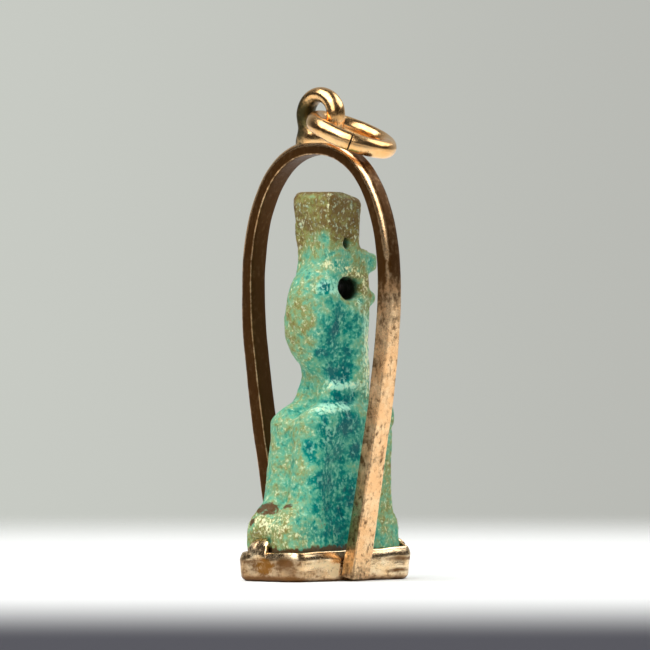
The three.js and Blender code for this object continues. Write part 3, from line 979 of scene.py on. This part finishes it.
@dataclass
class GoldTray:
    """The shallow tray that holds the foot, with a claw at each end."""

    half_x: float = 2.46
    half_y: float = 5.08
    corner: float = 1.0
    flare: float = 0.1
    wall: float = 0.26
    burnish: float = 0.14
    floor: float = 0.4
    rim_front: float = 1.6
    rim_back: float = 1.84
    rounding: float = 0.4
    claw_width: float = 1.66
    claw_thickness: float = 0.36
    claw_roughness: float = 0.09
    toe_claw_rise: float = 0.6
    heel_claw_rise: float = 0.28
    claw_grip: float = 0.42
    toe_claw_x: float = -0.6
    heel_claw_x: float = 1.0
    claw_tip_from: float = 0.6
    claw_tip_reach: float = 0.175
    claw_root: float = 1.08
    claw_taper: float = 0.25
    claw_corner: float = 0.16
    rim_wave: float = 0.025
    bend_from: float = 0.7
    bend_power: float = 1.5
    rim_roll: float = 0.12
    floor_fillet: float = 0.12
    least_corner: float = 0.3
    dent_size: float = 1.3
    dent_depth: Triple = (0.06, 0.06, 0.03)
    dented_heights: Pair = (0.05, 0.5)
    # darker under the rim
    under_rim: Patch = Patch((2.6, 3.8, 1.28), (0.8, 1.6, 0.22), 0.6)
    # painted shade of a dent
    dent_shade: Patch = Patch((2.5, 3.7, 0.56), (0.6, 1.2, 0.16), 0.65)
    crescent: Patch = Patch((1.7, -5.0, 1.15), (0.6, 0.6, 0.22), 0.6)
    scratches: Patch = Patch((2.4, -3.2, 0.5), (0.7, 1.7, 0.25), 0.45)
    stain: Patch = Patch((0.1, -5.15, 0.94), (1.0, 0.7, 0.66))
    # painted highlights on the long side, where it mirrors the floor
    painted_highlight_blob: Patch = Patch((2.5, -1.6, 0.6), (0.6, 0.7, 0.5), 0.9)
    painted_highlight_band: Patch = Patch((2.5, -2.6, 1.0), (0.6, 1.7, 0.3), 0.6)

    def build(self) -> bpy.types.Object:
        """Makes the tray.

        Returns:
            The piece that stands for the solid.
        """
        body = self._body()
        claws = [
            self._claw(-1, self.toe_claw_x, self.toe_claw_rise),
            self._claw(1, self.heel_claw_x, self.heel_claw_rise),
        ]
        points, faces = joined([body, *claws])
        points = self._hammered(points)
        numbers = self._numbers(points)
        # its crust colour also paints the highlights on the long side
        finish = RoseGold(
            "tray_gold", gold=(0.92, 0.62, 0.33), pale=(1.0, 0.84, 0.58), crust_and_highlight_colour=(0.95, 0.76, 0.46),
            amber=(0.3, 0.115, 0.004), tarnish_amount=0.22, roughness=0.24,
            streaks=(0.5, 0.5, 1.3), streak_scale=2.6,
        )
        return make_piece("tray", points, faces, ["gold_tray"], finish.material(), numbers)

    def _rim(self, y: Points) -> Points:
        """Measures the rim, which was bent up further at the heel.

        Args:
            y: places along the tray.

        Returns:
            The height of the rim at each of them.
        """
        share = (y / self.half_y + 1.0) / 2.0
        wave = self.rim_wave * np.sin(y * 1.9 + 0.6)
        return self.rim_front + (self.rim_back - self.rim_front) * share + wave

    def _levels(self) -> list[Triple]:
        """Draws the wall's profile, from the underside, up the outside, over the rim and down inside.

        Returns:
            For each level how far in it lies, the height that it starts from, and its share of the rim's.
        """
        levels: list[Triple] = []
        for turn in np.linspace(0.0, math.pi / 2, 7):
            inset = self.rounding * (1.0 - math.sin(turn))
            levels.append((inset, self.rounding * (1.0 - math.cos(turn)), 0.0))
        for share in np.linspace(0.12, 0.94, 14):
            bent = min(max((share - self.bend_from) / 0.3, 0.0), 1.0) ** self.bend_power
            levels.append((self.burnish * bent - self.flare * share, self.rounding, share))
        middle = self.burnish - self.flare + self.wall / 2
        for turn in np.linspace(0.0, math.pi, 9):
            inset = middle - self.wall / 2 * math.cos(turn)
            levels.append((inset, self.rounding + self.rim_roll * math.sin(turn), 1.0))
        for share in np.linspace(0.9, 0.3, 5):
            levels.append((self.wall - self.flare * share, self.rounding, share))
        levels.append((self.wall + self.floor_fillet, self.floor, 0.0))
        return levels

    def _body(self) -> tuple[Points, Faces]:
        """Lofts the tray through the levels of its wall.

        Returns:
            Its vertices and faces.
        """
        rings = []
        for inset, base, share in self._levels():
            corner = max(self.corner - inset, self.least_corner)
            outline = rounded_rectangle(self.half_x - inset, self.half_y - inset, corner, 10, 16)
            rim = self._rim(outline[:, 1]) - self.rounding
            rings.append(np.column_stack([outline, base + share * rim]))
        return loft(rings)

    def _claw(self, end: int, x: float, rise: float) -> tuple[Points, Faces]:
        """Bends one tongue of metal in over the foot.

        Args:
            end: -1 at the toe, 1 at the heel.
            x: where it stands across the tray.
            rise: how far it stands up over the rim.

        Returns:
            Its vertices and faces.
        """
        wall_y = self.half_y + self.flare - self.claw_thickness
        start_z = float(self._rim(np.array([end * self.half_y]))[0]) - self.claw_thickness
        rings = []
        for share in np.linspace(0.0, 1.0, 22):
            turn = share * math.pi * 0.5
            y = wall_y - self.claw_grip * (1.0 - math.cos(turn))
            z = start_z + (rise + self.claw_thickness) * math.sin(turn)
            past = max(share - self.claw_tip_from, 0.0)
            tip = math.sqrt(max(1.0 - past ** 2 / self.claw_tip_reach, 0.04))
            flank = self.claw_width / 2 * tip * (self.claw_root - self.claw_taper * share)
            section = rounded_rectangle(flank, self.claw_thickness / 2 * tip, self.claw_corner * tip, 5, 6)
            across = section[:, 1] + self.claw_thickness / 2
            rings.append(np.column_stack([
                x + section[:, 0],
                end * (y + across * math.cos(turn)),
                z + across * math.sin(turn),
            ]))
        points, faces = loft(rings)
        if end < 0:
            faces = [face[::-1] for face in faces]
        rough = np.column_stack([cloudy(points, 0.6, 2, shift) for shift in (3.0, 9.0, 15.0)])
        above = smooth_step(points[:, 2], start_z - 0.1, start_z + 0.3)[:, None]
        return points + rough * above * self.claw_roughness, faces

    def _hammered(self, points: Points) -> Points:
        """Adds the small dents of handwork, and keeps the underside flat.

        Args:
            points: the vertices.

        Returns:
            The moved vertices.
        """
        free = smooth_step(points[:, 2], *self.dented_heights)[:, None]
        push = np.column_stack([cloudy(points, self.dent_size, 3, shift) for shift in (0.0, 7.0, 13.0)])
        return points + push * free * np.array(self.dent_depth)

    def _numbers(self, points: Points) -> dict[str, Points]:
        """Works out the painted shade towards the lower edge and in a dent, the darkening under the rim, the
        painted highlights on the long side, the matt crust at the toe and the amber stains.

        Args:
            points: the vertices.

        Returns:
            A number for each vertex, by name.
        """
        # painted shade: darker towards the bottom edge
        bottom = 1.0 - smooth_step(points[:, 2], 0.1, 0.42)
        spots = smooth_step(cloudy(points, 1.1, 3, 3.0), 0.1, 0.6)
        toe = 1.0 - smooth_step(points[:, 1], -4.9, -3.6)
        rim = smooth_step(points[:, 2], 1.25, 1.5)
        dirt_and_shade = 0.6 * bottom + 0.2 * spots + 0.5 * toe - 0.4 * rim
        for patch in (self.under_rim, self.dent_shade, self.crescent, self.scratches):
            dirt_and_shade += patch.value * patch.weight(points)
        dirt_and_shade -= 0.3 * self.painted_highlight_blob.weight(points)
        crust_and_highlight = 0.35 * toe + 0.2 * spots
        # painted highlights on the long side
        for patch in (self.painted_highlight_blob, self.painted_highlight_band):
            crust_and_highlight += patch.value * patch.weight(points)
        return {
            "dirt_and_shade": np.clip(dirt_and_shade, 0.0, 1.0),
            "crust_and_highlight": np.clip(crust_and_highlight, 0.0, 1.0),
            "stained": np.clip(self.stain.weight(points), 0.0, 1.0),
        }


@dataclass
class GoldArch:
    """The arch of flat strip that stands over the figure."""

    top: float
    spread: float
    plane_y: float = ARCH_PLANE_Y
    foot_outside: float = 3.36
    foot_lift: float = 0.12
    thickness: float = 0.95
    apex_thickness: float = 0.85
    width: float = 1.26
    foot_width: float = 1.5
    outer_rounding: float = 0.4
    leg_rounding: float = 0.16
    inner_rounding: float = 0.12
    solder_spread: float = 0.08
    solder_heights: Pair = (0.9, 2.3)
    stations: int = 130
    belly_share: float = 0.66
    leg_share: float = 0.56
    foot_pull: Pair = (0.66, 0.535)
    belly_pull: float = 0.2
    fullness: float = 2.0 / 2.25
    thickening: Pair = (3.0, 0.0)
    foot_widening: Pair = (6.0, 5.0)
    sharpening: Pair = (3.0, 1.2)
    wobble_size: float = 2.4
    wobble: Triple = (0.02, 0.02, 0.0)
    # heights where the upper strip turns darker: painted shade where it mirrors the dim room
    shaded_top_heights: Pair = (15.1, 18.5)
    gleam_heights: Pair = (18.5, 20.0)
    foot_heights: Pair = (0.8, 2.0)

    def build(self) -> bpy.types.Object:
        """Makes the arch.

        Returns:
            The piece that stands for the solid.
        """
        rings = [self._section(index) for index in range(-self.stations, self.stations + 1)]
        points, faces = loft(rings)
        push = cloudy(points, self.wobble_size, 2, 21.0)[:, None] * np.array(self.wobble)
        points = self._soldered(points + push)
        numbers = self._numbers(points)
        # its crust colour also paints the bright lines along the strip's edges and the paler outer face low
        # down
        finish = RoseGold(
            "arch_gold", tarnish=(0.08, 0.031, 0.005), crust_and_highlight_colour=(0.38, 0.245, 0.12),
            tarnish_amount=0.5, roughness=0.25, streaks=(1.2, 1.2, 0.6), streak_scale=3.0,
        )
        return make_piece("arch", points, faces, ["gold_arch"], finish.material(), numbers)

    def _line(self, share: float) -> Pair:
        """Follows the outside of one half of the arch.

        Args:
            share: 0 at the foot, 1 at the apex.

        Returns:
            The distance from the middle and the height.
        """
        half = self.spread / 2
        belly = self.top * self.belly_share
        if share < self.leg_share:
            t = share / self.leg_share
            height = belly - self.foot_lift
            pull_x, pull_z = self.foot_pull
            handles = (
                (self.foot_outside, self.foot_lift),
                (self.foot_outside + (half - self.foot_outside) * pull_x, self.foot_lift + height * pull_z),
                (half, belly - height * self.belly_pull),
                (half, belly),
            )
            weights = ((1 - t) ** 3, 3 * t * (1 - t) ** 2, 3 * t * t * (1 - t), t ** 3)
            return (
                sum(w * h[0] for w, h in zip(weights, handles)),
                sum(w * h[1] for w, h in zip(weights, handles)),
            )
        turn = (share - self.leg_share) / (1.0 - self.leg_share) * math.pi / 2
        x = half * abs(math.cos(turn)) ** self.fullness if share < 1.0 else 0.0
        return x, belly + (self.top - belly) * math.sin(turn) ** self.fullness

    def _station(self, index: int) -> Points:
        """Gives a point of the outside line, from the foot at -X over the apex to the foot at +X."""
        x, z = self._line(1.0 - abs(index) / self.stations)
        return np.array([math.copysign(x, index) if index else 0.0, z])

    def _section(self, index: int) -> Points:
        """Cuts the strip square to its length at one station.

        Args:
            index: the station, 0 at the apex and negative towards the foot at -X.

        Returns:
            The points of the cut.
        """
        here = self._station(index)
        along = self._station(min(index + 1, self.stations)) - self._station(max(index - 1, -self.stations))
        along /= np.linalg.norm(along)
        inward = np.array([along[1], -along[0]])
        share = abs(index) / self.stations
        growth = self.thickness - self.apex_thickness
        thickness = self.apex_thickness + growth * ramp(share, *self.thickening)
        width = self.width + (self.foot_width - self.width) * ramp(share, *self.foot_widening)
        loss = self.leg_rounding - self.outer_rounding
        rounding = self.outer_rounding + loss * ramp(share, *self.sharpening)
        section = self._strip(thickness / 2, width / 2, rounding)
        depth = thickness / 2 + section[:, 0]
        return np.column_stack([
            here[0] + inward[0] * depth,
            self.plane_y + section[:, 1],
            here[1] + inward[1] * depth,
        ])

    def _strip(self, half_x: float, half_y: float, rounding: float) -> Points:
        """Draws the strip's section, well rounded outside (-X) and sharp inside (+X).

        Args:
            half_x: half of its thickness.
            half_y: half of its width.
            rounding: radius of the outside edges.

        Returns:
            Its points, with x and y in each row.
        """
        soft = rounded_rectangle(half_x, half_y, rounding, 6, 4)
        sharp = rounded_rectangle(half_x, half_y, self.inner_rounding, 6, 4)
        return np.where(soft[:, :1] < 0.0, soft, sharp)

    def _soldered(self, points: Points) -> Points:
        """Lets solder run out from the feet along the tray's wall.

        Args:
            points: the vertices.

        Returns:
            The moved vertices.
        """
        flow = 1.0 - smooth_step(points[:, 2], *self.solder_heights)
        foot_inside = self.foot_outside - self.thickness
        near_wall = 1.0 - smooth_step(np.abs(points[:, 0]), foot_inside, self.foot_outside)
        side = np.sign(points[:, 1] - self.plane_y)
        moved = points.copy()
        moved[:, 1] += side * flow * near_wall * self.solder_spread
        return moved

    def _numbers(self, points: Points) -> dict[str, Points]:
        """Works out the tarnish and the rubbed metal on each face of the strip, with painted shade on its
        upper part and along the arm at -X, and painted light: a paler outer face low down and bright lines
        along two edges.

        Args:
            points: the vertices, ring after ring.

        Returns:
            A number for each vertex, by name.
        """
        half, side = self.thickness / 2, self.width / 2
        section = self._strip(half, side, self.leg_rounding)
        rings = len(points) // len(section)
        inner = np.tile(smooth_step(section[:, 0], half - 0.1, half - 0.02), rings)
        outer = np.tile(smooth_step(-section[:, 0], half - self.leg_rounding, half - 0.03), rings)
        front = np.tile(smooth_step(-section[:, 1], side - 0.1, side - 0.02), rings)
        flat_front = front * (1.0 - inner) * (1.0 - outer)
        outer_edge = outer * front
        height = points[:, 2]
        # painted shade: the upper strip is made darker
        high = smooth_step(height + 0.9 * cloudy(points, 1.5, 2, 5.0), *self.shaded_top_heights)
        foot = 1.0 - smooth_step(height, *self.foot_heights)
        # painted shade: the arm at -X is made darker all along
        far = smooth_step(-points[:, 0], -1.0, 1.0)
        dim = np.maximum(far, high)
        clouds = smooth_step(cloudy(points, 2.0, 3, 9.0), 0.1, 0.6)
        # tarnish, and painted shade on the front face and the upper outer face
        dirt_and_shade = 0.9 * inner * (1.0 - front) + flat_front * (0.25 + 0.65 * dim) + 0.75 * outer * high
        gleam = smooth_step(height, *self.gleam_heights)
        dirt_and_shade += 0.15 * clouds - outer_edge * (2.2 * gleam + 0.6 * high)
        # painted light: the outer face paler low down and darker high up, and bright painted lines on the
        # inner front edge and the lower outer edge; the crust at the feet is the metal's own
        crust_and_highlight = outer * (0.26 - 1.1 * high) - 0.9 * inner - flat_front * (0.15 + 0.85 * dim)
        crust_and_highlight += 2.0 * inner * front + 0.7 * outer_edge * (1.0 - high) + 0.25 * foot
        return {"dirt_and_shade": np.clip(dirt_and_shade, -0.6, 1.0), "crust_and_highlight": crust_and_highlight}


@dataclass
class HangingLoop:
    """The loop of thick wire that is soldered on the apex."""

    apex: float
    plane_y: float = ARCH_PLANE_Y
    radius: float = 1.25
    wire: float = 0.9
    depth: float = 1.24
    sunk: float = 0.27
    solder_height: float = 1.1
    solder_spread: float = 1.05
    solder_sink: float = 0.22
    arch_fall: float = 0.075
    filed_depth: float = 0.5
    filed_fall: float = 0.09
    rings: int = 96
    sides: int = 32
    wobble_size: float = 1.1
    wobble: float = 0.018

    @property
    def centre_z(self) -> float:
        """Height of the middle of the loop."""
        return self.apex - self.sunk + self.wire / 2 + self.radius

    def build(self) -> bpy.types.Object:
        """Makes the loop.

        Returns:
            The piece that stands for the solid.
        """
        rings = []
        for turn in np.linspace(0.0, 2 * math.pi, self.rings, endpoint=False):
            angles = np.linspace(0.0, 2 * math.pi, self.sides, endpoint=False)
            reach = self.radius + self.wire / 2 * np.cos(angles)
            rings.append(np.column_stack([
                reach * math.cos(turn),
                self.plane_y - self.depth / 2 * np.sin(angles),
                self.centre_z + reach * math.sin(turn),
            ]))
        points, faces = loft(rings, closed=True)
        faces = [face[::-1] for face in faces]
        points = self._soldered(points)
        points = points + cloudy(points, self.wobble_size, 2, 31.0)[:, None] * self.wobble
        reach = np.hypot(points[:, 0], points[:, 2] - self.centre_z)
        inner = 1.0 - smooth_step(reach, 0.85, 1.2)
        left = 1.0 - smooth_step(points[:, 0], -1.15, -0.35)
        clean_foot = 1.0 - smooth_step(points[:, 2] - self.apex, 0.1, 0.5)
        numbers = {"dirt_and_shade": np.clip(0.6 * inner + 0.85 * left - 0.25 * clean_foot, 0.0, 1.0)}
        finish = bright_gold("loop_gold", (0.06, 0.05, 0.018), 0.2)
        return make_piece(
            "loop", points, faces, ["hanging_loop"], finish.material(), numbers
        )

    def _soldered(self, points: Points) -> Points:
        """Lets the foot of the loop flow out on the arch, and files it flat there.

        Args:
            points: the vertices.

        Returns:
            The moved vertices.
        """
        height = points[:, 2] - self.apex
        flow = 1.0 - smooth_step(height, -0.1, self.solder_height)
        moved = points.copy()
        moved[:, 0] += flow * flow * self.solder_spread * np.tanh(points[:, 0] * 2.0)
        moved[:, 1] -= flow * flow * 0.1 * (points[:, 1] - self.plane_y)
        moved[:, 2] -= flow * flow * (self.solder_sink + self.arch_fall * moved[:, 0] ** 2)
        filed = self.apex - self.filed_depth - self.filed_fall * moved[:, 0] ** 2
        moved[:, 2] = np.maximum(moved[:, 2], filed)
        return moved


@dataclass
class JumpRing:
    """The cut ring of round wire that hangs in the loop and leans over the arch's shoulder."""

    seat: Triple
    radius: float = 2.25
    wire: float = 1.1
    seam: float = 0.05
    seam_at: float = -60.0
    lip: float = 0.012
    core: float = 0.8
    dip: float = 23.0
    turn: float = 15.0
    stations: int = 150
    sides: int = 36
    wobble_size: float = 1.4
    wobble: float = 0.014

    def build(self) -> bpy.types.Object:
        """Makes the ring.

        Returns:
            The piece that stands for the solid.
        """
        gap = self.seam / self.radius
        cut = math.radians(self.seam_at)
        start, stop = cut + gap / 2, cut + 2 * math.pi - gap / 2
        turns = [start, *np.linspace(start + self.lip, stop - self.lip, self.stations), stop]
        rings = [self._section(turn) for turn in turns]
        rings = [self._section(cut, self.core), *rings, self._section(cut + 2 * math.pi, self.core)]
        points, faces = loft(rings)
        points = self._placed(points)
        points = points + cloudy(points, self.wobble_size, 2, 41.0)[:, None] * self.wobble
        finish = bright_gold("ring_gold", (0.03, 0.014, 0.005), 0.1)
        # painted shade: the two cut ends are coloured dark so the seam shows as a dark line
        seam_shade = 2 * len(rings[0])
        dirt_and_shade = np.zeros(len(points))
        dirt_and_shade[:seam_shade] = 1.0
        dirt_and_shade[-seam_shade:] = 1.0
        return make_piece(
            "ring", points, faces, ["jump_ring"], finish.material(), {"dirt_and_shade": dirt_and_shade}
        )

    def _section(self, turn: float, size: float = 1.0) -> Points:
        """Draws one round section of the wire.

        Args:
            turn: where it stands round the ring, in radians.
            size: share of the wire's thickness.

        Returns:
            Its points.
        """
        angles = np.linspace(2 * math.pi, 0.0, self.sides, endpoint=False)
        reach = self.radius + self.wire / 2 * size * np.cos(angles)
        rise = self.wire / 2 * size * np.sin(angles)
        return np.column_stack([reach * math.cos(turn), reach * math.sin(turn), rise])

    def _placed(self, points: Points) -> Points:
        """Hangs the ring by its -X end in the loop.

        Args:
            points: the vertices, round the ring's own middle.

        Returns:
            The vertices in the amulet's frame.
        """
        dip, turn = math.radians(self.dip), math.radians(self.turn)
        lean = np.array([
            [math.cos(dip), 0.0, math.sin(dip)],
            [0.0, 1.0, 0.0],
            [-math.sin(dip), 0.0, math.cos(dip)],
        ])
        swing = np.array([
            [math.cos(turn), -math.sin(turn), 0.0],
            [math.sin(turn), math.cos(turn), 0.0],
            [0.0, 0.0, 1.0],
        ])
        moved = points + np.array([self.radius, 0.0, 0.0])
        return moved @ (swing @ lean).T + np.array(self.seat)


@dataclass(frozen=True)
class Lamp:
    """One soft light."""

    name: str
    place: Triple
    target: Triple
    size: Pair
    watts: float
    colour: Triple = (1.0, 1.0, 1.0)

    def build(self) -> None:
        """Hangs the light and turns it to its target."""
        data = bpy.data.lights.new(self.name, "AREA")
        data.shape = "RECTANGLE"
        data.size = self.size[0] * MM
        data.size_y = self.size[1] * MM
        data.energy = self.watts
        data.color = self.colour
        lamp = bpy.data.objects.new(self.name, data)
        lamp.location = Vector(self.place) * MM
        aim = Vector(self.target) - Vector(self.place)
        lamp.rotation_euler = aim.to_track_quat("-Z", "Y").to_euler()
        bpy.context.scene.collection.objects.link(lamp)
        LOG.info("%s: %.2f W", self.name, self.watts)


@dataclass
class Studio:
    """The pale floor, the grey room, the soft lights and the camera."""

    azimuth: float = 45.0
    elevation: float = 0.4
    distance: float = 600.0
    view_width: float = 38.24
    aim: Triple = (0.0, 0.0, 15.0)
    floor_radius: float = 165.0
    floor_white: Triple = (0.86, 0.87, 0.86)
    floor_shade: Triple = (0.065, 0.065, 0.075)
    backdrop_left: Triple = (0.58, 0.6, 0.555)
    backdrop_right: Triple = (0.48, 0.488, 0.455)
    room_dark: Triple = (0.03, 0.027, 0.023)
    room_pale: Triple = (0.42, 0.43, 0.4)
    sensor: float = 36.0
    clip_start: float = 0.01
    clip_end: float = 20.0
    floor_steps: int = 96
    floor_darkening: Pair = (6.0, 94.0)
    floor_front: Pair = (10.0, 60.0)
    near_fade_from: float = 118.0
    far_fade_from: float = 65.0
    fade_end_share: float = 0.97
    backdrop_change: Pair = (-0.045, 0.045)
    pale_side: Pair = (0.35, 0.9)
    horizon: Pair = (-0.01, 0.06)
    lamps: tuple[Lamp, ...] = field(default_factory=lambda: (
        Lamp("overhead_softbox", (-14.0, -113.0, 300.0), (0.0, 0.0, 12.0), (330.0, 330.0), 1.35),
        Lamp("front_softbox", (185.0, -175.0, 250.0), (0.0, 0.0, 12.0), (220.0, 270.0), 0.5),
        Lamp("rear_softbox", (80.0, 240.0, 220.0), (0.0, 0.0, 12.0), (260.0, 160.0), 0.36),
    ))

    def build(self) -> None:
        """Sets up the whole studio."""
        self._camera()
        self._floor()
        self._room()
        for lamp in self.lamps:
            lamp.build()

    def _camera(self) -> None:
        """Places a long lens at the photograph's angle."""
        azimuth, elevation = math.radians(self.azimuth), math.radians(self.elevation)
        level = math.cos(elevation)
        away = Vector((math.sin(azimuth) * level, -math.cos(azimuth) * level, math.sin(elevation)))
        data = bpy.data.cameras.new("camera")
        data.sensor_width = self.sensor
        data.lens = self.sensor * self.distance / self.view_width
        data.clip_start = self.clip_start
        data.clip_end = self.clip_end
        camera = bpy.data.objects.new("camera", data)
        camera.location = (Vector(self.aim) + away * self.distance) * MM
        camera.rotation_euler = (-away).to_track_quat("-Z", "Y").to_euler()
        bpy.context.scene.collection.objects.link(camera)
        bpy.context.scene.camera = camera

    def _floor(self) -> None:
        """Lays a round white floor that fades out into the grey room."""
        turns = np.linspace(0.0, 2 * math.pi, self.floor_steps, endpoint=False)
        ring = np.column_stack([np.cos(turns), np.sin(turns), np.zeros(len(turns))]) * self.floor_radius
        mesh = bpy.data.meshes.new("floor")
        mesh.from_pydata((ring * MM).tolist(), [], [tuple(range(len(turns)))])
        floor = bpy.data.objects.new("floor", mesh)
        bpy.context.scene.collection.objects.link(floor)
        mesh.materials.append(self._floor_material())

    def _floor_material(self) -> bpy.types.Material:
        """Builds the matt white floor with its soft far edge.

        Returns:
            The material.
        """
        material, graph = new_material("white_floor")
        place = graph.place()
        away = graph.node("ShaderNodeVectorMath", {"operation": "LENGTH"}, {0: place}, "Value")
        forward = self._towards(graph, place, self.azimuth, 1.0)
        tone = graph.mix(forward.between(*self.floor_darkening), self.floor_white, self.floor_shade)
        finish = {"Base Color": tone, "Roughness": 0.8, "Specular IOR Level": 0.0}
        shader = graph.node("ShaderNodeBsdfPrincipled", {}, finish)
        clear = graph.node("ShaderNodeBsdfTransparent", {}, {})
        fade_end = self.floor_radius * self.fade_end_share
        near_fade = away.between(self.near_fade_from, fade_end)
        far_fade = away.between(self.far_fade_from, fade_end)
        front = forward.between(*self.floor_front)
        edge = near_fade * front + far_fade * (1.0 - front)
        mixed = graph.node("ShaderNodeMixShader", {}, {0: edge, 1: shader, 2: clear})
        graph.node("ShaderNodeOutputMaterial", {}, {"Surface": mixed})
        return material

    @staticmethod
    def _towards(graph: Graph, place: Signal, azimuth: float, sign: float) -> Signal:
        """Measures how far a point or direction lies towards one side.

        Args:
            graph: the graph to add to.
            place: the point or direction.
            azimuth: the side, in degrees round from -Y towards +X.
            sign: 1 for that side, -1 for the side across from it.

        Returns:
            The distance that way.
        """
        angle = math.radians(azimuth)
        axis = (sign * math.sin(angle), -sign * math.cos(angle), 0.0)
        return graph.node("ShaderNodeVectorMath", {"operation": "DOT_PRODUCT"}, {0: place, 1: axis}, "Value")

    def _room(self) -> None:
        """Fills the room: a pale wall behind the amulet, and dim elsewhere in what it mirrors."""
        world = bpy.data.worlds.new("grey_room")
        world.use_nodes = True
        bpy.context.scene.world = world
        graph = Graph(world.node_tree)
        direction = graph.node("ShaderNodeTexCoord", {}, {}, "Generated")
        sideways = self._towards(graph, direction, self.azimuth + 90.0, 1.0)
        behind = self._towards(graph, direction, self.azimuth, -1.0)
        wall = graph.mix(sideways.between(*self.backdrop_change), self.backdrop_left, self.backdrop_right)
        mirrored = graph.mix(behind.between(*self.pale_side), self.room_dark, self.room_pale)
        down = {0: direction, 1: (0.0, 0.0, -1.0)}
        sinking = graph.node("ShaderNodeVectorMath", {"operation": "DOT_PRODUCT"}, down, "Value")
        mirrored = graph.mix(sinking.between(*self.horizon), mirrored, self.floor_white)
        seen = graph.node("ShaderNodeLightPath", {}, {}, "Is Camera Ray")
        tone = graph.mix(seen, mirrored, wall)
        room = graph.node("ShaderNodeBackground", {}, {"Color": tone, "Strength": 1.0})
        graph.node("ShaderNodeOutputWorld", {}, {"Surface": room})


def main() -> None:
    """Builds every piece in order, then the studio."""
    logging.basicConfig(level=logging.INFO, format="%(name)s %(message)s")
    bpy.context.scene.view_settings.view_transform = "Standard"
    arch_low, arch_high = (np.array(corner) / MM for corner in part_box("gold_arch"))
    apex = float(arch_high[2])
    loop = HangingLoop(apex=apex)
    jump_seat_z = loop.centre_z - loop.radius + loop.wire / 2 + JumpRing.wire / 2 + RING_GAP
    Studio().build()
    FaienceFigure().build()
    GoldTray().build()
    GoldArch(top=apex, spread=float(arch_high[0] - arch_low[0])).build()
    loop.build()
    JumpRing(seat=(0.0, loop.plane_y, jump_seat_z)).build()


if __name__ == "__main__":
    main()
